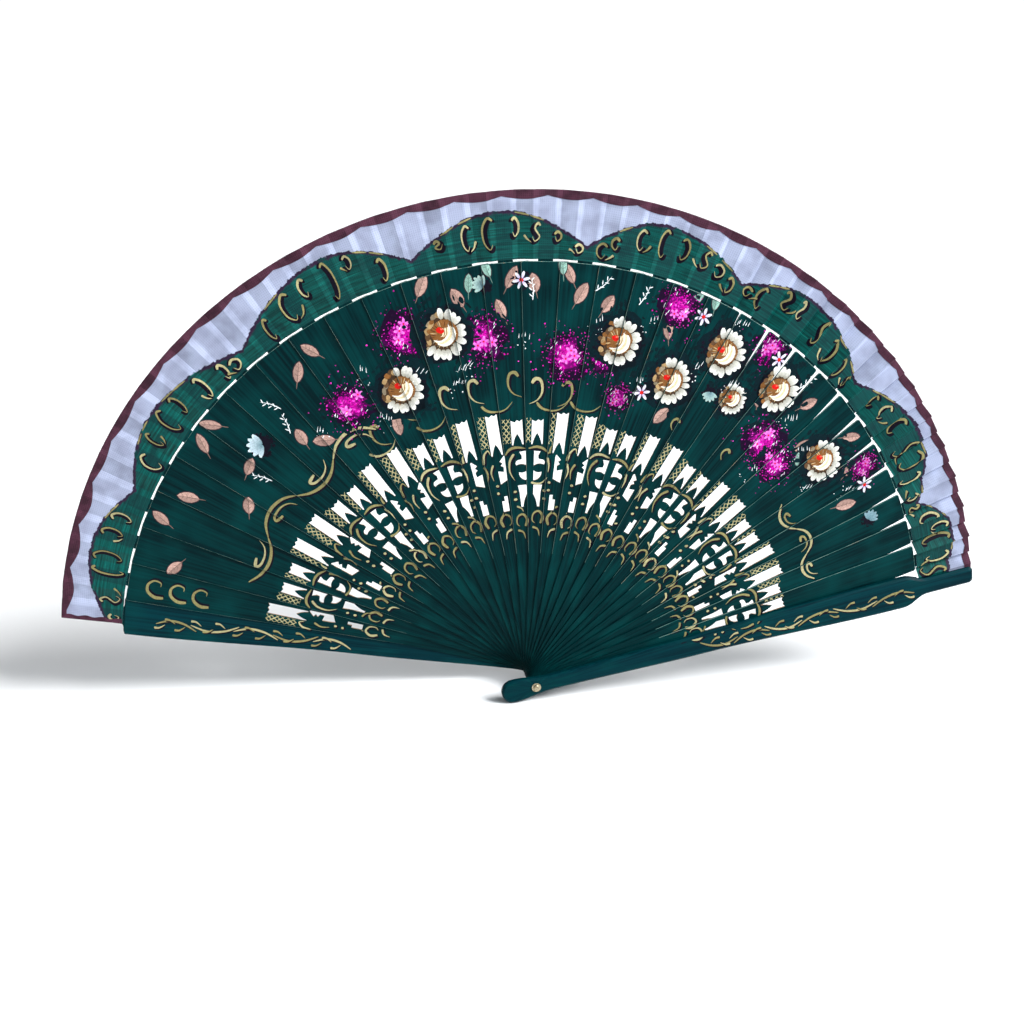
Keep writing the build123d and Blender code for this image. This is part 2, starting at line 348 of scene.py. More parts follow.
def weave_height(m, v, pitch):
    """Plain weave: threads across and along, each rising over the other."""
    count = 1 / (pitch * tau)
    across = m.wave(v, count, "X", 0.15)
    along = m.wave(v, count, "Y", 0.15)
    return m.math("MAXIMUM", across, along)


def leaf_cloth():
    """Fine cotton, partly brushed over with green paint that follows the drawn edge on the cloth."""
    m = Nodes("leaf_cloth", specular=0.12)
    v = m.attribute("cloth", "Vector")
    across, along, edge = m.split(v)
    flat = m.join(across, along, 0.0)
    weave = weave_height(m, flat, 0.42)
    cloud = m.noise(flat, 0.09, 3.0, 0.5)
    wobble = m.math("MULTIPLY", m.math("SUBTRACT", m.noise(flat, 0.42, 4.0, 0.65), 0.5), 3.0)
    inside = m.math("ADD", edge, wobble)
    green = m.ramp(inside, -0.12, 0.12)
    streaks = m.noise(m.scale(flat, 0.05, 1.3, 1.0), 1.0, 4.0, 0.6)
    raw = m.mix(m.ramp(cloud, 0.35, 0.68), srgb(170, 178, 204), srgb(138, 144, 166))
    # painted shade: darker in the hollows between the threads
    raw = m.mix(m.ramp(weave, 0.2, 0.9, 0.22, 0.0), raw, srgb(96, 104, 130))
    painted = m.mix(m.ramp(streaks, 0.34, 0.66), srgb(0, 50, 48), srgb(0, 84, 78))
    painted = m.mix(m.ramp(streaks, 0.6, 0.74, 0.0, 0.55), painted, srgb(26, 122, 112))
    painted = m.mix(m.ramp(m.noise(flat, 0.12, 3.0, 0.6), 0.5, 0.66, 0.0, 0.6), painted, srgb(0, 40, 42))
    # painted shade: the cloth is darker in a band over each rib that lies behind it
    rib_shade = m.ramp(m.attribute("rib", "Fac"), 2.9, 3.3, 1.0, 0.0)
    painted = m.mix(m.math("MULTIPLY", rib_shade, 0.5), painted, srgb(0, 40, 44))
    raw = m.mix(m.math("MULTIPLY", rib_shade, 0.3), raw, srgb(120, 124, 146))
    outline = m.math("MULTIPLY", m.ramp(inside, -0.2, 0.1),
                     m.ramp(inside, 0.9, 1.7, 1.0, 0.0))
    broken = m.ramp(m.noise(flat, 0.16, 2.0, 0.5), 0.32, 0.46)
    painted = m.mix(m.math("MULTIPLY", outline, broken), painted, srgb(40, 24, 48))
    colour = m.mix(green, raw, painted)
    rough = m.ramp(green, 0.0, 1.0, 0.85, 0.5)
    return m.finish(colour, rough, m.math("ADD", weave, m.math("MULTIPLY", streaks, 0.4)), 0.35, 0.00012)


def edging_cloth():
    m = Nodes("edging_cloth", specular=0.12)
    v = m.attribute("cloth", "Vector")
    across, along, _ = m.split(v)
    flat = m.join(across, along, 0.0)
    weave = weave_height(m, flat, 0.38)
    cloud = m.noise(flat, 0.2, 3.0, 0.6)
    colour = m.mix(m.ramp(cloud, 0.3, 0.7), srgb(56, 30, 42), srgb(84, 48, 64))
    # painted shade: darker in the hollows between the threads
    colour = m.mix(m.ramp(weave, 0.2, 0.9, 0.4, 0.0), colour, srgb(40, 20, 30))
    return m.finish(colour, m.ramp(cloud, 0.3, 0.7, 0.7, 0.9), weave, 0.5, 0.00012)


def worn_metal(name, light, dark):
    m = Nodes(name, metallic=1.0, specular=0.5)
    v = m.position()
    scratch = m.noise(m.scale(v, 9000.0, 900.0, 3000.0), 1.0, 4.0, 0.6)
    tarnish = m.noise(v, 1400.0, 3.0, 0.6)
    colour = m.mix(m.ramp(tarnish, 0.35, 0.7), light, dark)
    return m.finish(colour, m.ramp(scratch, 0.3, 0.7, 0.22, 0.48), scratch, 0.25, 0.00003)


LACQUER = lacquer("lacquer_blades", srgb(0, 24, 28), srgb(0, 43, 45))
GUARD_LACQUER = lacquer("lacquer_guards", srgb(0, 30, 38), srgb(0, 48, 55))
CUT_WOOD = raw_wood()
EDGE_WEAR_AND_HIGHLIGHT = edge_wear_and_highlight()
PAINT = paint_material()
LEAF_CLOTH = leaf_cloth()
EDGING_CLOTH = edging_cloth()
METAL = worn_metal("rivet_metal", srgb(196, 186, 160), srgb(140, 122, 92))

for stick, name in enumerate(STICKS):
    node = frame["nodes"][name]
    mesh = node.data
    mesh.materials.clear()
    mesh.materials.append(GUARD_LACQUER if name.endswith("guard") else LACQUER)
    if name.endswith("guard"):
        continue
    mesh.materials.append(CUT_WOOD)
    mesh.materials.append(EDGE_WEAR_AND_HIGHLIGHT)
    for face in mesh.polygons:
        x, _, z = (c / MM for c in face.center)
        a = radians(ANGLES[stick])
        side, along = x * cos(a) - z * sin(a), x * sin(a) + z * cos(a)
        wall = abs(face.normal.y) < 0.3 and PIERCED_FROM < along < PIERCED_TO
        if wall and abs(side) < half_width(stick, along) - 0.35:
            face.material_index = 1
        # bevel faces get the worn edge material, painted lighter as a highlight line along each edge
        elif 0.3 < abs(face.normal.y) < 0.95 and along > 60:
            face.material_index = 2
for name in ("rivet", "rear_washer", "front_washer"):
    mesh = frame["nodes"][name].data
    mesh.materials.clear()
    mesh.materials.append(METAL)
for name, node in frame["nodes"].items():
    if not node.data.materials:
        node.data.materials.append(LEAF_CLOTH)


# ---------------------------------------------------------------- the painting
dice = random.Random(31)
uniform = dice.uniform
shapes = []  # each is a list of convex polygons; a corner is (x, z, red, green, blue)

CREAM, OCHRE, BASE = srgb(240, 236, 224), srgb(128, 84, 44), srgb(140, 126, 104)
RED, MAGENTA, PINK = srgb(205, 26, 22), srgb(196, 0, 156), srgb(224, 60, 190)
SHADE, GOLD, GOLD_LIGHT = srgb(14, 10, 24), srgb(140, 132, 88), srgb(174, 166, 124)
BEIGE = srgb(186, 150, 138)
PALE, LILAC, WHITE = srgb(206, 224, 234), srgb(196, 176, 220), srgb(232, 238, 240)
MINT = srgb(150, 190, 176)
DUSK, DEEP_DUSK = srgb(0, 25, 32), srgb(2, 15, 23)
DEEP_PURPLE, DARK_PURPLE, PURPLE = srgb(24, 2, 34), srgb(64, 0, 64), srgb(120, 0, 104)
PLUM, ROSE_PURPLE, PALE_PINK = srgb(160, 0, 130), srgb(190, 20, 140), srgb(236, 140, 222)


def scaled(colour, k):
    return tuple(c * k for c in colour)


def vary(colour, amount=0.12):
    return scaled(colour, 1 + uniform(-amount, amount))


def blob(x, z, rx, rz=None, turn=0.0, colour=CREAM, count=10, rough=0.0, tip=None):
    """Filled oval; with tip, the colour runs towards tip along the oval's own length."""
    rz = rx if rz is None else rz
    tip = tip or colour
    ca, sa = cos(turn), sin(turn)
    points = []
    for i in range(count):
        a = tau * i / count
        k = 1 + uniform(-rough, rough)
        u, w = cos(a) * rx * k, sin(a) * rz * k
        share = (sin(a) + 1) / 2
        mixed = tuple(lerp(colour[c], tip[c], share) for c in range(3))
        points.append((x + u * ca + w * sa, z - u * sa + w * ca, *mixed))
    return points


def add_shape(*polygons):
    shapes.append(list(polygons))


def dab(*oval, **more):
    """Paint one oval, with the arguments of blob."""
    add_shape(blob(*oval, **more))


def curve_points(points, steps=5):
    """Smooth run through the points."""
    pts = [points[0], *points, points[-1]]
    out = []
    for a, b, c, d in zip(pts, pts[1:], pts[2:], pts[3:]):
        for i in range(steps):
            t = i / steps
            out.append(tuple(0.5 * (2 * b[n] + (c[n] - a[n]) * t + (2 * a[n] - 5 * b[n] + 4 * c[n] - d[n]) * t * t
                                    + (3 * b[n] - a[n] - 3 * c[n] + d[n]) * t ** 3) for n in (0, 1)))
    out.append(tuple(points[-1]))
    return out


def stroke(points, width, colour, taper="both", steps=5):
    """Brush stroke along a smooth line; it swells in the middle, or at its start for a comma."""
    line = curve_points(points, steps)
    count = len(line) - 1
    sides = []
    for i, (x, z) in enumerate(line):
        x0, z0 = line[max(i - 1, 0)]
        x1, z1 = line[min(i + 1, count)]
        dx, dz = x1 - x0, z1 - z0
        length = hypot(dx, dz) or 1.0
        t = i / count
        if taper == "both":
            w = sin(pi * (0.06 + 0.88 * t)) ** 0.7
        else:
            w = (1 - t) ** 0.75 * min(1.0, 0.55 + 4 * t) + 0.08
        w *= width / 2
        sides.append(((x - dz / length * w, z + dx / length * w), (x + dz / length * w, z - dx / length * w)))
    polygons = []
    for (a, b), (c, d) in zip(sides, sides[1:]):
        polygons.append([(*a, *colour), (*b, *colour), (*d, *colour), (*c, *colour)])
    shapes.append(polygons)


def touch(x, z, direction, length, width, colour, taper):
    """Short straight stroke from (x, z), along a direction in radians."""
    stroke([(x, z), (x + sin(direction) * length, z + cos(direction) * length)], width, colour, taper, 2)


def gold(points, width, taper="comma", shadow=(0.45, -0.35)):
    """Gold stroke with the dark stroke that the painter laid beside it."""
    dx, dz = shadow
    stroke([(x + dx, z + dz) for x, z in points], width * 1.2, SHADE, taper)
    stroke(points, width, vary(GOLD_LIGHT if dice.random() < 0.4 else GOLD, 0.1), taper)


def cloud(x, z, rx, rz=None):
    """Dark ground brushed under a flower, with a broken edge."""
    rz = rz or rx
    dab(x, z, rx * 0.8, rz * 0.8, 0.0, SHADE, 12, 0.12)
    for _ in range(int(9 * rx)):
        a, k = uniform(0, tau), uniform(0.7, 1.25)
        dab(x + cos(a) * rx * k, z + sin(a) * rz * k, uniform(0.3, 1.1),
            uniform(0.25, 0.7), a, vary(SHADE, 0.3), 6, 0.2)


def dots(x, z, spread, count, colour, low, high):
    for _ in range(count):
        a, k = uniform(0, tau), spread * sqrt(dice.random())
        r = uniform(low, high)
        dab(x + cos(a) * k, z + sin(a) * k, r, r * uniform(0.7, 1), a,
            vary(colour, 0.3), 6)


def petal(x, z, direction, length, width, base, tip):
    """Petal whose foot is at (x, z)."""
    cx, cz = x + sin(direction) * length / 2, z + cos(direction) * length / 2
    dab(cx, cz, width / 2, length / 2, direction, base, 10, 0.05, tip)


def night(x, z, spread, count=46):
    """Deep blue-black shade round a flower, thinning out into dabs."""
    dab(x, z, spread * 0.86, spread * 0.8, uniform(0, 3), DUSK, 18, 0.16)
    dab(x + 1.0, z - 1.0, spread * 0.7, spread * 0.66, uniform(0, 3), DEEP_DUSK, 16, 0.2)
    for _ in range(count):
        a, k = uniform(0, tau), spread * uniform(0.75, 1.1)
        dab(x + cos(a) * k, z + sin(a) * k, uniform(0.7, 2.0), uniform(0.4, 1.0), a,
            vary(srgb(0, 27, 33), 0.2), 7, 0.2)


def rose(place, radius, size):
    """Cream rose: a ring of bead-like petals with ochre dabs on one side, a streaked ochre bowl with one
    large curled petal in it, and a red heart to one side."""
    x, z = spot(place, radius)
    night(x, z, 13.5 * size)
    cloud(x, z, 8.4 * size, 8.0 * size)
    dab(x, z, 6.4 * size, 7.4 * size, 0, vary(srgb(66, 48, 34), 0.1), 16, 0.08)
    for i in range(15):
        a = radians(200 + i * 11 + uniform(-8, 8))
        k = uniform(5.2, 7.4) * size
        tone = vary(dice.choice((OCHRE, BASE, srgb(168, 138, 96), srgb(92, 66, 44))), 0.25)
        dab(x + sin(a) * k, z + cos(a) * k * 1.1, uniform(0.9, 1.6) * size,
            uniform(0.7, 1.1) * size, a, tone, 8, 0.15)
    for i in range(13):
        a = radians(-8 + i * 19 + uniform(-3, 3))
        k = uniform(3.6, 4.5) * size
        petal(x + sin(a) * 4.7 * size, z + cos(a) * 5.4 * size, a + uniform(-0.15, 0.15), k,
              uniform(2.3, 2.8) * size, vary(srgb(150, 146, 130), 0.25), vary(srgb(244, 244, 238), 0.04))
    dab(x + 0.3 * size, z + 0.4 * size, 5.1 * size, 4.8 * size, 0, OCHRE, 14, 0.07)
    for i in range(26):
        a = tau * i / 26 + uniform(-0.1, 0.1)
        r = uniform(2.4, 3.4) * size
        line = [(x + sin(a) * r, z + cos(a) * r),
                (x + sin(a) * 5.0 * size, z + cos(a) * 5.0 * size)]
        tone = vary(dice.choice((BASE, OCHRE, srgb(200, 176, 130), srgb(84, 50, 30))), 0.2)
        stroke(line, 0.4, tone, "both", 2)
    bowl = [(3.3, 2.6), (3.6, 0.4), (2.6, -2.0), (0.4, -3.4), (-2.2, -3.0)]
    for shift, tone, width in ((0.0, CREAM, 2.3), (-0.9, srgb(226, 206, 164), 1.2), (-1.7, CREAM, 0.8)):
        stroke([(x + (u + shift * 0.8) * size, z + (v - shift * 0.5) * size) for u, v in bowl], width * size,
               vary(tone, 0.04), "both")
    for k in range(3):
        streak = ((1.6 - k * 0.9, 2.6 - 0.2 * k), (1.7 - k * 0.9, 0.4 - k * 0.3), (0.6 - k * 0.8, k * 0.2 - 1.2))
        stroke([(x + u * size, z + v * size) for u, v in streak], 0.7 * size, vary(srgb(232, 216, 180), 0.06),
               "comma")
    dab(x - 1.2 * size, z + 1.5 * size, 1.5 * size, 1.15 * size, 0.4, RED, 9, 0.12)
    dab(x - 0.7 * size, z + 1.9 * size, 0.5 * size, 0.35 * size, 0.4, srgb(236, 110, 84), 7)


def spray(place, radius, size, dim):
    """Magenta blossom spray: fine speckles crowded in the middle, and three small blossoms on them."""
    x, z = spot(place, radius)
    tones = (MAGENTA, MAGENTA, PINK, PLUM, PURPLE)
    night(x, z, 11.0 * size, 40)
    for wide, tone in ((8.0, DEEP_PURPLE), (6.2, DARK_PURPLE), (4.4, PURPLE), (2.6, ROSE_PURPLE)):
        dab(x, z, wide * size, wide * 1.15 * size, uniform(0, 3), scaled(tone, dim), 16, 0.3)
    for _ in range(int(480 * size)):
        a, k = uniform(0, tau), abs(dice.gauss(0, 0.55))
        r = uniform(0.16, 0.48) * (1.35 if k < 0.45 else 0.9)
        tone = scaled(dice.choice(tones), dim)
        dab(x + cos(a) * k * 10.6 * size, z + sin(a) * k * 11.4 * size, r,
            r * uniform(0.6, 1), a, vary(tone, 0.25), 5)
    for _ in range(3):
        cx, cz = x + uniform(-4, 4) * size, z + uniform(-5, 5) * size
        for i in range(5):
            petal(cx, cz, tau * i / 5 + cx, 2.3 * size, 1.1 * size, scaled(PINK, dim),
                  scaled(PALE_PINK, dim))
        dab(cx, cz, 0.45, colour=scaled(RED, dim), count=6)
    for _ in range(12):
        a, k = uniform(0, tau), uniform(3, 8) * size
        sx, sz = x + cos(a) * k, z + sin(a) * k
        t = uniform(0.2, 0.8)
        touch(sx, sz, t, 1.4, 0.34, scaled(WHITE, dim), "both")


def star(place, radius):
    """Small open flower of six narrow petals around a red eye."""
    x, z = spot(place, radius)
    cloud(x, z, 3.0)
    for i in range(6):
        a = tau * i / 6 + place
        petal(x + sin(a) * 0.6, z + cos(a) * 0.6, a, 3.1, 1.25, LILAC, WHITE)
    dab(x, z, 0.85, colour=RED, count=8)


def sprig_leaf(place, radius, direction, length, width, colour=BEIGE):
    """Plump leaf with a dark edge, a darker half, veins and a stalk."""
    x, z = spot(place, radius)
    direction = radians(direction)
    ux, uz = sin(direction), cos(direction)
    px, pz = uz, -ux
    profile = ((0, 0), (0.12, 0.5), (0.3, 0.9), (0.5, 1.0), (0.7, 0.86), (0.88, 0.5), (1, 0))

    def side(k, tone, grow=0.0):
        return [(x + ux * (length * t + grow * (2 * t - 1)) + px * (w * width / 2 + grow * (w > 0)) * k,
                 z + uz * (length * t + grow * (2 * t - 1)) + pz * (w * width / 2 + grow * (w > 0)) * k, *tone)
                for t, w in profile]

    dark = srgb(50, 36, 44)
    add_shape(side(1, dark, 0.35), side(-1, dark, 0.35))
    add_shape(side(1, vary(colour, 0.1)))
    add_shape(side(-1, vary(scaled(colour, 0.7), 0.1)))
    vein = scaled(colour, 0.4)
    stalk = [(x - ux * 2.6, z - uz * 2.6), (x, z), (x + ux * length * 0.9, z + uz * length * 0.9)]
    stroke(stalk, 0.35, vein, "both", 3)
    for t in (0.3, 0.5, 0.7):
        for k in (1, -1):
            sx, sz = x + ux * length * t, z + uz * length * t
            stroke([(sx, sz), (sx + (ux * 1.1 + px * k * 1.2), sz + (uz * 1.1 + pz * k * 1.2))], 0.22, vein, "both", 2)


def dashes(place, radius, direction, count):
    """A few short parallel white touches."""
    x, z = spot(place, radius)
    direction = radians(direction)
    for i in range(count):
        sx, sz = x + i * 1.25 + uniform(-0.3, 0.3), z + uniform(-0.8, 0.8)
        long = uniform(1.4, 2.8)
        touch(sx, sz, direction, long, 0.42, WHITE, "comma")


def twig(place, radius, direction, size):
    """Fine white twig with short side dashes."""
    x, z = spot(place, radius)
    direction = radians(direction)
    ux, uz = sin(direction), cos(direction)
    stroke([(x, z), (x + ux * 4 * size + uz * 0.6, z + uz * 4 * size - ux * 0.6),
            (x + ux * 8 * size, z + uz * 8 * size)], 0.45, WHITE, "comma", 4)
    for i in range(6):
        k = 1.2 + 1.15 * i
        way = 1 if i % 2 else -1
        a = direction + way * 0.8
        sx, sz = x + ux * k * size, z + uz * k * size
        stroke([(sx, sz), (sx + sin(a) * 1.6 * size, sz + cos(a) * 1.6 * size)], 0.45, WHITE, "both", 3)


def leaf_flower(place, radius, direction, size, colour=PALE):
    """Pale flower seen from the side: long petals that fan out from one foot."""
    x, z = spot(place, radius)
    cloud(x, z, 3.6 * size)
    for i, off in enumerate((-62, -34, -10, 14, 38, 64)):
        a = radians(direction + off)
        petal(x, z, a, (5.6 - 0.35 * abs(i - 2.5)) * size, 1.9 * size, vary(srgb(96, 130, 140), 0.1),
              vary(colour, 0.06))


# Gold work of the pierced zone, one blade after another
def lattice(stick, left, right, low, high):
    """Loosely crossed gold lines on the wood beside a crown."""
    pitch, rise = 2.5, 1.25
    span = right - left
    if span < 1:
        return
    for way in (1, -1):
        start = low - span * rise + uniform(0, 0.8)
        while start < high:
            x0, y0, x1, y1 = left, start, right, start + span * rise
            if y0 < low:
                x0, y0 = left + (low - y0) / rise, low
            if y1 > high:
                x1, y1 = right - (y1 - high) / rise, high
            if x1 > x0 + 0.3:
                if way < 0:
                    x0, x1 = left + right - x0, left + right - x1
                a, b = local(stick, x0, y0), local(stick, x1, y1 + uniform(-0.2, 0.2))
                stroke([a, b], uniform(0.4, 0.56), vary(GOLD_LIGHT, 0.15), "both", 2)
            start += pitch + uniform(-0.2, 0.2)


def pierced_gold(stick):
    """Lattice, arcs over and round the medallion, dabs below it, and the scroll band."""
    kind = stick % 4
    edge = -half_width(stick, 120) + 0.4
    hole = {1: 0.65, 2: 0.35, 3: -1.1, 0: -1.1}[kind] - 2.55
    low, high = (112.6, 126.6) if kind in (0, 1) else (113.4, 124.2)
    lattice(stick, max(edge, hole - 3.8), hole - 0.3, low, high)

    def mark(points, width=1.1, taper="comma"):
        line = [local(stick, x, y) for x, y in points]
        stroke([(x + 0.5, z - 0.55) for x, z in line], width * 1.7, SHADE, taper)
        stroke(line, width, vary(GOLD_LIGHT if dice.random() < 0.4 else GOLD, 0.12), taper)

    if kind == 1:
        mark([(-5.9, 105.6), (-5.2, 109.6), (-3.2, 111.6), (-2.3, 109.4)])
        mark([(-1.9, 104.8), (-3.2, 101.5), (-2.6, 97.6)], 1.0)
        dabs = [(-1.4, 95.0), (-1.6, 91.6)]
    elif kind == 2:
        mark([(-5.4, 108.4), (-3.6, 110.6), (-0.6, 111.4), (3.6, 110.6)], 1.15, "both")
        mark([(-1.7, 108.6), (-3.7, 105.4), (-3.9, 100.6), (-2.0, 96.6)], 1.15)
        dabs = [(-2.2, 91.4), (-2.2, 87.8)]
    elif kind == 3:
        mark([(-4.8, 110.7), (-1.4, 111.4), (1.6, 110.6), (4.2, 108.4)], 1.15, "both")
        mark([(-3.2, 95.4), (-0.8, 94.7), (1.8, 95.3), (3.8, 97.8)], 1.05)
        mark([(3.6, 106.6), (4.3, 103.2), (4.0, 100.0)], 1.05)
        dabs = [(2.6, 91.4), (2.6, 87.8)]
    else:
        mark([(-4.8, 108.6), (-4.7, 110.9), (-3.9, 112.3)], 1.0)
        mark([(3.3, 104.6), (4.2, 101.2), (3.3, 97.6)], 1.0)
        dabs = [(-3.5, 95.4), (-3.4, 91.8)]
    for x, y in dabs:
        px, pz = local(stick, x, y)
        dab(px + 0.3, pz - 0.35, 1.0, colour=SHADE, count=8, rough=0.15)
        dab(px, pz, uniform(0.6, 0.85), 0.6, 0, vary(GOLD_LIGHT), 8, 0.12)
    way = 1 if (stick // 2) % 2 else -1
    lift = uniform(-1.2, 1.2)
    mark([(way * 1.5, 75.4 + lift), (way * 2.4, 78.6 + lift), (way * 0.6, 81.2 + lift), (-way * 1.8, 80.0 + lift),
          (-way * 2.2, 77.0 + lift), (-way * 1.0, 75.6 + lift)], 1.25)
    mark([(-way * 2.0, 73.8 + lift), (way * 0.4, 72.6 + lift), (way * 1.2, 69.4 + lift)], 1.05)
    if stick % 3:
        mark([(-way * 1.8, 84.6), (way * 0.2, 83.4), (way * 1.0, 81.8)], 0.85)


def turned_mark(place, radius, line, width, shadow=(0.9, -0.5), mirror=1):
    """Gold stroke drawn upright in a frame that leans with the blades."""
    x, z = spot(place, radius)
    a = atan2(x, z)
    ca, sa = cos(a), sin(a)
    gold([(x + mirror * u * ca + v * sa, z - mirror * u * sa + v * ca) for u, v in line], width, "comma", shadow)


TALL_SCROLL = [(2.6, 5.0), (1.2, 6.8), (-0.9, 6.4), (-1.9, 3.8), (-1.7, 0.6), (0.2, -2.2), (3.6, -3.8)]
SHORT_SCROLL = [(1.9, 3.6), (0.4, 4.6), (-1.0, 3.2), (-0.9, 1.0), (0.8, -0.9)]
ARCH = [(-4.6, -3.6), (-4.9, 0.2), (-2.6, 3.4), (0.8, 3.6), (3.0, 1.2), (2.4, -1.6), (0.6, -1.8)]
SWOOSH = [(-6.0, 1.6), (-3.6, -0.8), (0.2, -1.7), (4.2, -0.9), (7.4, 1.8)]

for stick in range(1, LAST):
    pierced_gold(stick)

for place, radius in ((9.5, 133), (10.8, 137), (12.2, 136), (13.2, 136), (14.6, 137), (15.5, 134), (16.6, 133)):
    turned_mark(place, radius, TALL_SCROLL, uniform(1.35, 1.6), mirror=1 if place < 15 else -1)
for place, radius in ((9.4, 128.5), (11.4, 129), (13.9, 129.5), (16.0, 129), (17.3, 130)):
    turned_mark(place, radius, SWOOSH, 1.15)
for place, radius in ((18.6, 134), (21.0, 133), (23.5, 134)):
    turned_mark(place, radius, SHORT_SCROLL, 1.25, mirror=1 if int(place) % 2 else -1)

WAVE = [(0.0, 0.0), (0.22, 0.72), (0.5, 1.0), (0.78, 0.72), (1.0, 0.0)]
CURL = [(0.52, -0.1), (0.36, 0.08), (0.42, 0.42), (0.62, 0.44), (0.78, 0.1), (0.86, -0.5)]


def running_scroll(first, last, radius, swing, count, width):
    """Wavy line of even swings, each with a plain curl in its hollow."""
    wide = (last - first) / count
    for k in range(count):
        start, rise = first + k * wide, swing if k % 2 else -swing
        gold([spot(start + wide * u, radius + rise * v) for u, v in WAVE], width, "both", (0.5, -0.6))
        gold([spot(start + wide * u, radius + rise * v) for u, v in CURL], width, "comma", (0.5, -0.6))


running_scroll(2.4, 9.6, 138, 5.4, 4, 1.4)
running_scroll(27.0, 31.0, 140, 4.4, 3, 1.2)
for radius in (156, 166, 176):
    turned_mark(1.5, radius, ARCH, 1.6, (0.5, 0.8))

for place, radius, direction in (
        (2.4, 168, -60), (3.3, 178, 20), (4.3, 171, -20), (4.6, 150, 60), (5.5, 178, 30), (5.6, 160, 75),
        (6.3, 180, -35), (7.5, 150, 10), (8.5, 172, 45), (8.3, 144, -60), (9.4, 176, -30), (10.4, 140, 190),
        (12.3, 181, 35), (13.4, 173, -25), (14.5, 166, -20), (14.6, 178, 30), (16.4, 180, -30), (16.5, 172, 25),
        (17.3, 170, 25), (19.5, 166, -25), (20.5, 140, 200), (23.3, 160, -30), (24.5, 172, 20), (26.3, 178, 35),
        (27.5, 170, -20), (28.4, 160, 15), (15.4, 176, -15), (25.5, 158, 10)):
    sprig_leaf(place, radius, direction + ANGLES[int(place)], uniform(7.8, 10.2), uniform(3.8, 4.9))
for place, radius, direction in ((13.6, 178, 10), (14.2, 183, -20), (16.1, 183, -10), (19.7, 182, 30), (20.4, 184, -15),
                                 (26.2, 155, -60)):
    sprig_leaf(place, radius, direction + ANGLES[int(place)], 7.6, 3.4, MINT)
for place, radius, size, dim in (
        (9.3, 152, 1.05, 1), (11.6, 168, 1.05, 1), (13.8, 159, 1.05, 1), (16.4, 151, 1.05, 1), (17.6, 153, 0.8, 1),
        (18.5, 137, 0.6, 0.6), (19.4, 180, 0.9, 1), (22.5, 182, 0.85, 0.8), (24.4, 151, 1, 1), (25.4, 148, 0.85, 1),
        (27.6, 179, 0.7, 0.65)):
    spray(place, radius, size, dim)
for place, radius, size in ((10.95, 148, 1.08), (12.7, 164, 1.12), (18.0, 159.5, 1.08), (20.1, 150.6, 1.05),
                            (21.3, 170.7, 1.08), (22.4, 156.5, 0.72), (23.5, 171, 1.05), (26.5, 165, 1.02)):
    rose(place, radius, size)
for place, radius in ((19.3, 142), (20.2, 180), (22.9, 181), (28.2, 176), (15.0, 181)):
    star(place, radius)
leaf_flower(6.6, 163, -60 + ANGLES[6], 1.25)
leaf_flower(29.5, 172, -40 + ANGLES[29], 0.9, srgb(130, 160, 170))
leaf_flower(14.0, 180, -60 + ANGLES[14], 0.9, srgb(170, 196, 186))
leaf_flower(21.6, 154, 160 + ANGLES[21], 0.8, srgb(170, 196, 190))
for place, radius, direction in ((7.4, 158, 20), (15.3, 173, -5), (18.3, 176, 15), (7.7, 168, -30), (24.0, 177, 10),
                                 (17.0, 178, 40), (5.9, 150, -20)):
    twig(place, radius, direction + ANGLES[int(place)], 1.1)
for place, radius in (
        (10.1, 162), (11.6, 152), (12.9, 148), (12.6, 143), (14.9, 158), (17.2, 166), (18.8, 171), (20.7, 160),
        (22.0, 160), (24.4, 164), (25.6, 160), (27.0, 152), (13.1, 150), (9.9, 141), (19.0, 146), (24.9, 139),
        (21.2, 183), (8.0, 151), (28.0, 168)):
    dashes(place, radius, uniform(-10, 40), dice.randrange(3, 6))
    x, z = spot(place, radius - 3)
    dots(x, z, 3.5, 6, WHITE, 0.14, 0.34)


def guard_vine(stick, side, low, high):
    """Gold vine along a guard: long thin branches with commas that leave them in turn."""
    radius, way = low, 1
    while radius < high:
        long = uniform(17, 22)
        x = side * uniform(0.6, 1.4)
        ends = [(x - 2.2 * way, radius), (x + 0.8 * way, radius + long * 0.3), (x + 1.8 * way, radius + long * 0.65),
                (x - 0.4 * way, radius + long)]
        gold([local(stick, *end) for end in ends], 1.05, "both", (0.3, -0.5))
        for k, out in ((0.3, -2.6), (0.55, 2.2), (0.8, -2.4)):
            y = radius + long * k
            gold([local(stick, x + out * way, y + 4.2), local(stick, x + out * 0.95 * way, y + 2.0),
                  local(stick, x + out * 0.2 * way, y - 0.4)], 1.15, "comma", (0.3, -0.5))
        radius += long * 0.88
        way = -way


guard_vine(LAST, 1, 80, 176)
guard_vine(0, -1, 86, 172)


# ---------------------------------------------------------------- from painted shapes to meshes
def half_plane(p, q, keep):
    """(a, b, c) with a*x + b*z <= c on the side of the line pq where the point keep lies."""
    a, b = q[1] - p[1], p[0] - q[0]
    c = a * p[0] + b * p[1]
    if a * keep[0] + b * keep[1] > c:
        a, b, c = -a, -b, -c
    return a, b, c


def clip(polygon, plane):
    a, b, c = plane
    out = []
    for p, q in zip(polygon, polygon[1:] + polygon[:1]):
        dp, dq = a * p[0] + b * p[1] - c, a * q[0] + b * q[1] - c
        if dp <= 0:
            out.append(p)
        if (dp < 0 < dq) or (dq < 0 < dp):
            t = dp / (dp - dq)
            out.append(tuple(lerp(p[i], q[i], t) for i in range(len(p))))
    return out


def signed_area(polygon):
    total = 0.0
    for p, q in zip(polygon, polygon[1:] + polygon[:1]):
        total += p[0] * q[1] - q[0] * p[1]
    return total / 2


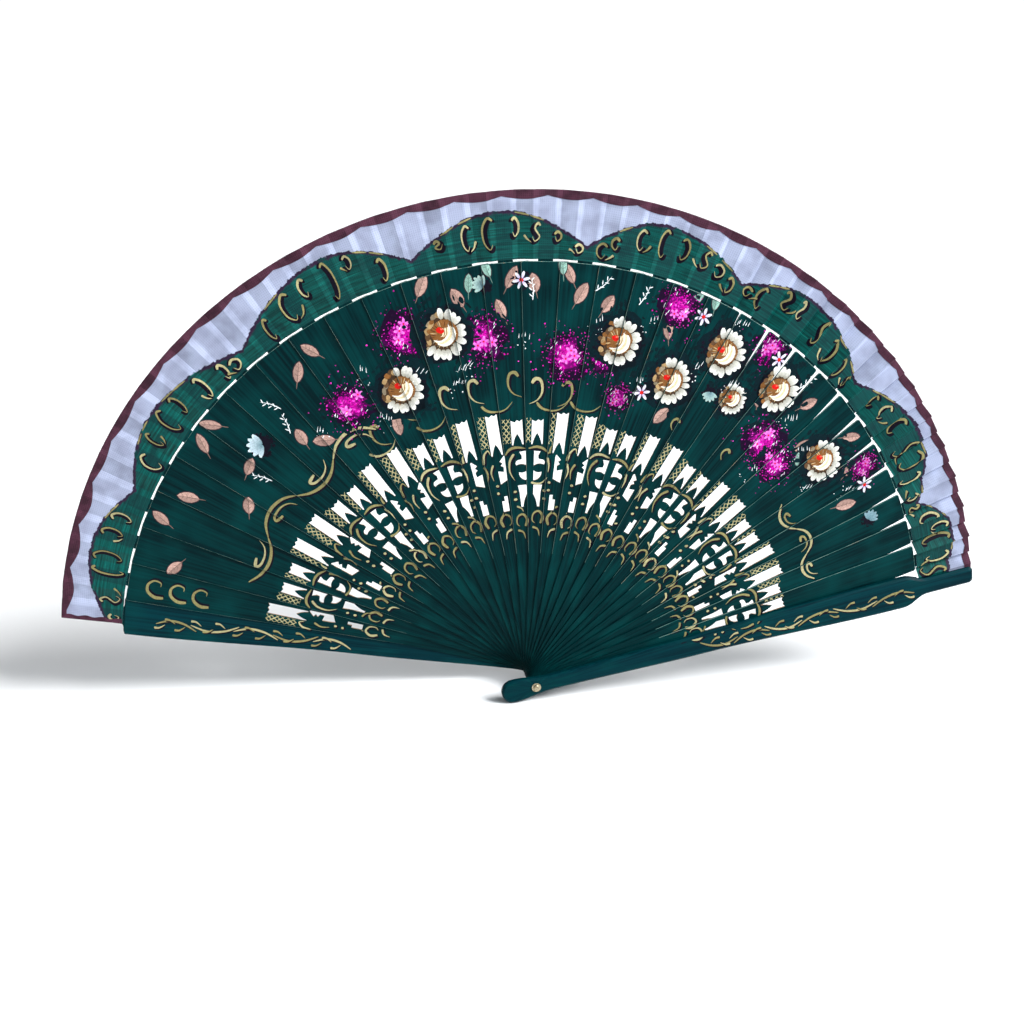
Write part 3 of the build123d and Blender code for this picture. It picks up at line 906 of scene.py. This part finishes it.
class Film:
    """Paint film: thin closed pads, one for each convex polygon."""

    def __init__(self):
        self.points, self.faces, self.colours = [], [], []

    def add(self, polygon, base, height):
        """base(x, z) gives the depth of what lies under the film."""
        if abs(signed_area(polygon)) < 0.01:
            return
        if signed_area(polygon) < 0:
            polygon = polygon[::-1]
        first, n = len(self.points), len(polygon)
        for lift in (height, FILM_FOOT):
            for p in polygon:
                self.points.append((p[0] * MM, (base(p[0], p[1]) - lift) * MM, p[1] * MM))
                self.colours.append((p[2], p[3], p[4], 1.0))
        self.faces.append([first + i for i in range(n)])
        self.faces.append([first + n + i for i in reversed(range(n))])
        for i in range(n):
            j = (i + 1) % n
            self.faces.append([first + j, first + i, first + n + i, first + n + j])

    def build(self, name, material):
        mesh = bpy.data.meshes.new(name)
        mesh.from_pydata(self.points, [], self.faces)
        colours = mesh.color_attributes.new("paint", "FLOAT_COLOR", "POINT")
        colours.data.foreach_set("color", np.array(self.colours, np.float32).ravel())
        mesh.materials.append(material)
        mesh.validate()
        return linked(name, mesh)


def stick_planes(stick):
    """Half-planes around what shows of a stick from the front."""
    def line(x0, y0, x1, y1):
        return half_plane(local(stick, x0, y0), local(stick, x1, y1), local(stick, 0, 160))

    if stick == LAST:
        return [line(-3.4, 60, -6.2, 180), line(4.0, 62, 7.3, 180), line(-20, 190, 20, 190), line(-20, 60, 20, 60)]
    planes = [line(-20, 60, 20, 60), line(-20, 187.7, 20, 187.7)]
    if stick == 0:
        planes.append(line(-4.2, 70, -7.4, 186))
    else:
        h = half_shoulder(stick)
        planes.append(line(-NECK + PAINT_INSET, NECK_LENGTH, -h + PAINT_INSET, SHOULDER_RADIUS))
        planes.append(line(NECK - PAINT_INSET, NECK_LENGTH, h - PAINT_INSET, SHOULDER_RADIUS))
        if turned(stick):
            free = lerp(h, slit_edge(stick), turned(stick))
            planes.append(line(half_width(stick, SLIT_RADIUS) - PAINT_INSET, SLIT_RADIUS,
                               free - PAINT_INSET, SHOULDER_RADIUS))
    ahead = stick + 1
    if ahead == LAST:
        p, q = local(ahead, -3.8 + AHEAD_INSET, 7), local(ahead, -FRONT_GUARD_INNER + AHEAD_INSET, 180)
    else:
        p = local(ahead, -NECK + AHEAD_INSET, NECK_LENGTH)
        q = local(ahead, -half_shoulder(ahead) + AHEAD_INSET, SHOULDER_RADIUS)
    planes.append(half_plane(p, q, local(stick, -2, 188)))
    return planes


def reach(polygon):
    """Lowest and highest angle, and radius, of a polygon."""
    angles = [degrees(atan2(p[0], p[1])) for p in polygon]
    radii = [hypot(p[0], p[1]) for p in polygon]
    return min(angles), max(angles), min(radii), max(radii)


def cad_surface(name):
    """The stick's own surface, to test where there is wood under the paint."""
    node = frame["nodes"][name]
    points = [node.matrix_world @ v.co for v in node.data.vertices]
    return BVHTree.FromPolygons(points, [tuple(p.vertices) for p in node.data.polygons])


def on_wood(tree, polygon):
    """True where the polygon's middle and its corners, drawn in a little, lie over the wood."""
    n = len(polygon)
    cx, cz = sum(p[0] for p in polygon) / n, sum(p[1] for p in polygon) / n
    for k in (0.0, 0.85):
        for p in polygon if k else polygon[:1]:
            x, z = lerp(cx, p[0], k), lerp(cz, p[1], k)
            hit = tree.ray_cast(Vector((x * MM, -0.05, z * MM)), Vector((0, 1, 0)))
            if hit[0] is None:
                return False
    return True


measured = [[(p, *reach(p)) for p in shape] for shape in shapes]
for stick, name in enumerate(STICKS):
    planes = stick_planes(stick)
    depth = face_depth(stick)
    wood = cad_surface(name)
    drawn = []
    for shape in measured:
        clipped = []
        for polygon, low, high, near, far in shape:
            if high < ANGLES[stick] - PAINT_SWEEP or low > ANGLES[stick] + PAINT_SWEEP or near > PAINT_END:
                continue
            for plane in planes:
                polygon = clip(polygon, plane)
                if len(polygon) < 3:
                    break
            if len(polygon) > 2 and (near > WHOLE_FROM or on_wood(wood, polygon)):
                clipped.append(polygon)
        if clipped:
            drawn.append(clipped)
    if not drawn:
        continue
    film = Film()
    for order, clipped in enumerate(drawn):
        height = FILM_LOW + FILM_RISE * (order + 1) / len(drawn)
        for polygon in clipped:
            film.add(polygon, lambda x, z: depth, height)
    piece = film.build(f"paint_{name}", PAINT)
    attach(piece, name)


# ---------------------------------------------------------------- the cloth leaf
PEAKS = [(-0.6, 0.12), (1.6, 0.76), (3.2, 0.34), (4.9, 0.72), (7.4, 0.30), (9.9, 0.84), (11.8, 0.28), (13.9, 0.82),
         (16.0, 0.26), (17.9, 0.86), (20.1, 0.42), (22.0, 0.84), (24.5, 0.34), (26.9, 0.84), (29.0, 0.30),
         (30.2, 0.86), (31.4, 0.7), (32.6, 0.3)]


def green_edge(place):
    """Share of the leaf's width that is painted: scallops that meet in cusps."""
    for (p, a), (q, b) in zip(PEAKS, PEAKS[1:]):
        if p <= place <= q:
            t = (place - p) / (q - p)
            # round at the peaks, pointed at the valleys
            return lerp(a, b, sin(t * pi / 2)) if b > a else lerp(a, b, 1 - cos(t * pi / 2))
    return 0.2


def green_radius(place):
    return lerp(LEAF_IN, LEAF_OUT - EDGING_COVER, green_edge(place))


def rib_depth(stick):
    """Depth of the middle of the cloth over a stick."""
    if stick == 0:
        return face_depth(0) + TIP_RECESS / 2
    if stick == LAST:
        return back_depth(LAST) - TIP_RECESS / 2
    return back_depth(stick) - RIB_THICKNESS - CLOTH_GAP - CLOTH / 2


def gap_folds(gap):
    """(angle, depth) lines of the cloth from one stick to the next, with its end beyond a guard."""
    a0, a1 = ANGLES[gap], ANGLES[gap + 1]
    d0, d1 = rib_depth(gap), rib_depth(gap + 1)
    guard_flat = degrees(asin((GUARD_TIP / 2 + CLOTH_GAP) / LEAF_IN))
    end = degrees(asin(GUARD_TIP / 2 / LEAF_OUT))
    f0 = guard_flat if gap == 0 else FLAT
    f1 = guard_flat if gap == LAST - 1 else FLAT
    step = a1 - a0
    deep = lerp(SHALLOW_PLEAT, DEEP_PLEAT, smooth((gap - DEEPER_AFTER) / DEEPER_OVER))
    behind = GUARD_PLEAT if gap == 0 else deep
    before = GUARD_PLEAT if gap == LAST - 1 else deep
    lines = [(a0, d0), (a0 + f0, d0), (a0 + max(PLEAT_SHARE * step, f0 + FOLD_GAP), d0 + behind),
             (a1 - max(PLEAT_SHARE * step, f1 + FOLD_GAP), d1 - before), (a1 - f1, d1), (a1, d1)]
    if gap == 0:
        lines.insert(0, (a0 - end, d0))
    if gap == LAST - 1:
        lines.append((a1 + end, d1))
    return lines


def cloth_depth(lines, angle):
    for (a, da), (b, db) in zip(lines, lines[1:]):
        if angle <= b:
            return lerp(da, db, (angle - a) / (b - a))
    return lines[-1][1]


def columns(lines, width=0.16):
    """Angles across a gap: every fold line, and evenly between them."""
    out = [lines[0][0]]
    for (a, _), (b, _) in zip(lines, lines[1:]):
        count = max(1, round((b - a) / width))
        out += [lerp(a, b, (i + 1) / count) for i in range(count)]
    return out


def gap_place(gap, angle):
    return gap + (angle - ANGLES[gap]) / STEPS[gap]


def make_sheet(name, rows, material):
    """Mesh of a swept closed section: rows[i][j] = (x, y, z, across, along, edge, distance to a rib) in mm."""
    count, width = len(rows), len(rows[0])
    points = [tuple(c * MM for c in p[:3]) for row in rows for p in row]
    faces = []
    for i in range(count - 1):
        for j in range(width):
            k = (j + 1) % width
            faces.append([i * width + j, i * width + k, (i + 1) * width + k, (i + 1) * width + j])
    faces.append(list(reversed(range(width))))
    faces.append([(count - 1) * width + j for j in range(width)])
    mesh = bpy.data.meshes.new(name)
    mesh.from_pydata(points, [], faces)
    values = mesh.attributes.new("cloth", "FLOAT_VECTOR", "POINT")
    values.data.foreach_set("vector", np.array([p[3:6] for row in rows for p in row], np.float32).ravel())
    ribs = mesh.attributes.new("rib", "FLOAT", "POINT")
    ribs.data.foreach_set("value", np.array([p[6] for row in rows for p in row], np.float32))
    mesh.materials.append(material)
    return linked(name, mesh)


def across(angle):
    """Distance along the cloth's middle line, for patterns that carry on from gap to gap."""
    return radians(angle) * (LEAF_IN + LEAF_OUT) / 2


def beside_rib(gap, angle, radius):
    """Distance from the middle of the nearer rib, in mm."""
    return radians(min(abs(angle - ANGLES[gap]), abs(angle - ANGLES[gap + 1]))) * radius


def leaf_place(place, radius):
    """Point of the leaf at a stick number with a fraction of the step."""
    gap = min(int(place), LAST - 1)
    return polar(ANGLES[gap] + (place - gap) * STEPS[gap], radius)


def leaf_gold():
    """Gold and dark strokes of the leaf: each scallop is filled from both sides with leaning scrolls."""
    valleys = [p for p, share in PEAKS if share < 0.5]
    for left, right in zip(valleys, valleys[1:]):
        middle, half = (left + right) / 2, (right - left) / 2
        for way in (-1, 1):
            for k, share in enumerate((0.16, 0.42, 0.68, 0.88)):
                place = middle + way * (share + uniform(-0.06, 0.06)) * half
                top = green_radius(place) - uniform(1.4, 2.6)
                low = max(LEAF_IN + 1.8, top - uniform(7.0, 15.0) + 2 * k)
                if top - low < 3 or (k == 1 and half < 1.8):
                    continue
                step = STEPS[min(int(place), LAST - 1)]
                lean = way * uniform(2.2, 4.0) / (radians(step) * 200)
                flip = 1 if dice.random() < 0.8 else -0.6
                line = [leaf_place(place - flip * lean * 0.75, top - 1.0), leaf_place(place - flip * lean * 0.2, top),
                        leaf_place(place + flip * lean * 0.4, lerp(top, low, 0.3)),
                        leaf_place(place + lean * 0.35, lerp(top, low, 0.75)),
                        leaf_place(place - lean * 0.25, low), leaf_place(place - lean * 0.6, low + 1.8)]
                z0 = line[0][1]
                dx = way * 0.9 * z0 / 200
                stroke([(x - dx, z - 0.5) for x, z in line], 2.3, SHADE, "both")
                stroke(line, uniform(0.85, 1.2), vary(dice.choice((GOLD, GOLD_LIGHT)), 0.15), "comma")
                if k % 2:
                    tip = leaf_place(place - lean * 1.6, lerp(low, top, 0.35))
                    foot = leaf_place(place - lean * 0.7, low - 0.4)
                    gold([tip, leaf_place(place - lean * 1.25, low + 0.9), foot], 0.9)
    for (p, a), (q, b) in zip(PEAKS, PEAKS[1:]):
        # broken gold touches along the painted edge
        for _ in range(2):
            t = uniform(0.1, 0.8)
            line = []
            for k in range(4):
                place = lerp(p, q, t + 0.05 * k)
                line.append(leaf_place(place, green_radius(place) - 0.5))
            if 0 < p and q < LAST:
                stroke(line, 0.7, vary(GOLD, 0.15), "both")


RADIAL = 44
CLOTH_END = LEAF_OUT - 0.35
shapes = []
leaf_gold()
leaf_shapes = [[(p, *reach(p)) for p in shape] for shape in shapes]
for gap in range(LAST):
    a, b = STICKS[gap], STICKS[gap + 1]
    lines = gap_folds(gap)
    angles = columns(lines)
    rows = []
    for angle in angles:
        depth = cloth_depth(lines, angle)
        border = green_radius(gap_place(gap, angle))
        row = []
        for face, order in ((-1, range(RADIAL + 1)), (1, reversed(range(RADIAL + 1)))):
            for j in order:
                radius = lerp(LEAF_IN, CLOTH_END, j / RADIAL)
                x, z = polar(angle, radius)
                edge = (border - radius) if face < 0 else -9.0
                row.append((x, depth + face * CLOTH / 2, z, across(angle), radius, edge,
                            beside_rib(gap, angle, radius)))
        rows.append(row)
    leaf = make_sheet(f"leaf_{gap + 1:02d}", rows, LEAF_CLOTH)

    rows = []
    half = CLOTH / 2
    for angle in angles:
        depth = cloth_depth(lines, angle)
        share = (angle - ANGLES[gap]) / STEPS[gap]
        wave = abs(sin(pi * min(max(share, 0), 1)))
        inner = LEAF_OUT - lerp(2.2, 3.6, wave) - (1.2 if gap < 3 else 0.0) * wave
        section = [(inner, -half - 0.012), (inner + 0.05, -half - 0.15), (LEAF_OUT - 0.35, -half - 0.19),
                   (LEAF_OUT - 0.02, -0.16), (LEAF_OUT - 0.02, 0.16), (LEAF_OUT - 0.35, half + 0.19),
                   (LEAF_OUT - 3.3, half + 0.15), (LEAF_OUT - 3.35, half + 0.012),
                   (CLOTH_END + 0.03, half + 0.012), (CLOTH_END + 0.03, -half - 0.012)]
        row = []
        for radius, lift in section:
            x, z = polar(angle, radius)
            row.append((x, depth + lift, z, across(angle), radius + 4 * lift, 0.0, 9.0))
        rows.append(row)
    edging = make_sheet(f"edging_{gap + 1:02d}", rows, EDGING_CLOTH)

    film = Film()
    count = 0
    for shape in leaf_shapes:
        used = False
        for polygon, low, high, near, far in shape:
            for (low_line, _), (high_line, _) in zip(lines, lines[1:]):
                if high < low_line or low > high_line or far > CLOTH_END - 1:
                    continue
                middle = (low_line + high_line) / 2
                cut = polygon
                for border in (low_line, high_line):
                    cut = clip(cut, half_plane((0, 0), polar(border, 100), polar(middle, 100)))
                    if len(cut) < 3:
                        break
                if len(cut) > 2:
                    used = True
                    film.add(cut, lambda x, z: cloth_depth(lines, degrees(atan2(x, z))) - CLOTH / 2,
                             LEAF_FILM_LOW + LEAF_FILM_RISE * (count % LEAF_FILM_COUNT))
        count += used
    with_leaf = [edging]
    if film.faces:
        with_leaf.append(film.build(f"leaf_paint_{gap + 1:02d}", PAINT))

    turn_start = ANGLES[gap] + (lines[2][0] - ANGLES[gap] if gap == 0 else FLAT)
    turn_end = ANGLES[gap + 1] - FLAT
    middle = (LEAF_IN + LEAF_OUT) / 2
    p, q = polar(turn_start, middle), polar(turn_end, middle)
    start = Vector((p[0] * MM, cloth_depth(lines, turn_start) * MM, p[1] * MM))
    end = Vector((q[0] * MM, cloth_depth(lines, turn_end) * MM, q[1] * MM))
    start.y = end.y = (start.y + end.y) / 2
    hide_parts("leaf")
    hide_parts("leaf_edging")
    for piece in [leaf, *with_leaf]:
        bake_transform(piece)
    # the cloth was cut as a ring, so its flat width is the folded line's length at the rim
    def line_length(radius):
        return sum(hypot(radians(q[0] - p[0]) * radius, q[1] - p[1]) for p, q in zip(lines, lines[1:]))

    width = line_length(CLOTH_END) * MM
    length = (CLOTH_END - LEAF_IN) * MM
    flat_area = (line_length(LEAF_IN) + line_length(CLOTH_END)) / 2 * MM * length

# Hem folded over the leaf's free end at the rear guard
hem_rows = []
hem_depth = rib_depth(0)
hem_end = ANGLES[0] - degrees(asin(GUARD_TIP / 2 / LEAF_OUT))
for i in range(27):
    radius = lerp(LEAF_IN + 0.2, LEAF_OUT - 0.1, i / 26)
    wide = 1.9 + 0.35 * sin(i * 0.9)
    row = []
    for inward, lift in ((wide, -0.137), (wide - 0.05, -0.27), (0.1, -0.33), (-0.12, -0.16), (-0.12, 0.16), (0.1, 0.33),
                         (1.9, 0.27), (1.95, 0.137), (-0.02, 0.137), (-0.02, -0.137)):
        x, z = polar(hem_end + degrees(inward / radius), radius)
        row.append((x, hem_depth + lift, z, inward * 1.3, radius, 0.0, 9.0))
    hem_rows.append(row)
hem = make_sheet("hem_rear", hem_rows, EDGING_CLOTH)
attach(hem, "rear_guard")

# ---------------------------------------------------------------- floor, light and camera
FLOOR_GAP, FLOOR_SIZE = 0.0002, 12  # metres
floor_level = cad_box[0].z - FLOOR_GAP
bpy.ops.mesh.primitive_plane_add(size=FLOOR_SIZE, location=(0, 0, floor_level))
floor = bpy.context.object
floor.name = "floor"
floor_look = Nodes("studio_floor", roughness=0.9, specular=0.1)
floor_tone = floor_look.noise(floor_look.position(), 2.0, 2.0, 0.5)
floor.data.materials.append(floor_look.finish(
    floor_look.mix(floor_tone, srgb(238, 239, 240), srgb(244, 245, 246)), None, floor_tone, 0.05, 0.0005))

SKY_LIGHT, SKY_SEEN = 0.27, 1.1  # strength of the backdrop as light, and as the camera sees it
world = bpy.data.worlds.new("studio")
bpy.context.scene.world = world
world.use_nodes = True
air = world.node_tree
air.nodes["Background"].inputs["Color"].default_value = (0.94, 0.97, 1.0, 1)
backdrop = air.nodes.new("ShaderNodeMapRange")  # a plain white backdrop, with dimmer light from it
air.links.new(air.nodes.new("ShaderNodeLightPath").outputs["Is Camera Ray"], backdrop.inputs["Value"])
backdrop.inputs["To Min"].default_value = SKY_LIGHT
backdrop.inputs["To Max"].default_value = SKY_SEEN
air.links.new(backdrop.outputs["Result"], air.nodes["Background"].inputs["Strength"])


def light(name, kind, place, power, size, colour=(1, 1, 1), target=(0, 0, 0.1)):
    data = bpy.data.lights.new(name, kind)
    data.energy, data.color = power, colour
    if kind == "SUN":
        data.angle = size
    else:
        data.size = size
    lamp = linked(name, data)
    lamp.location = place
    lamp.rotation_euler = (Vector(target) - Vector(place)).to_track_quat("-Z", "Y").to_euler()


light("key", "SUN", (0.72, -0.42, 0.72), 4.6, 0.4, target=(0, 0, 0))
light("window", "AREA", (0.34, -0.36, 0.46), 2.2, 0.5, (0.86, 0.94, 1.0), (0.12, 0, 0.1))
light("behind", "SUN", (-0.4, 0.75, 0.6), 1.3, 0.5, target=(0, 0, 0))

scene = bpy.context.scene
scene.view_settings.view_transform = "Standard"
camera = linked("camera", bpy.data.cameras.new("camera"))
azimuth, elevation, distance = radians(-8.7), radians(27.9), 0.55
back = Vector((sin(azimuth) * cos(elevation), -cos(azimuth) * cos(elevation),
               sin(elevation)))
camera.location = back * distance
camera.rotation_euler = (-back).to_track_quat("-Z", "Y").to_euler()
camera.data.lens, camera.data.sensor_width = 40.3, 36
camera.data.shift_x, camera.data.shift_y = -0.0195, 0.158
camera.data.clip_start = 0.01
scene.camera = camera
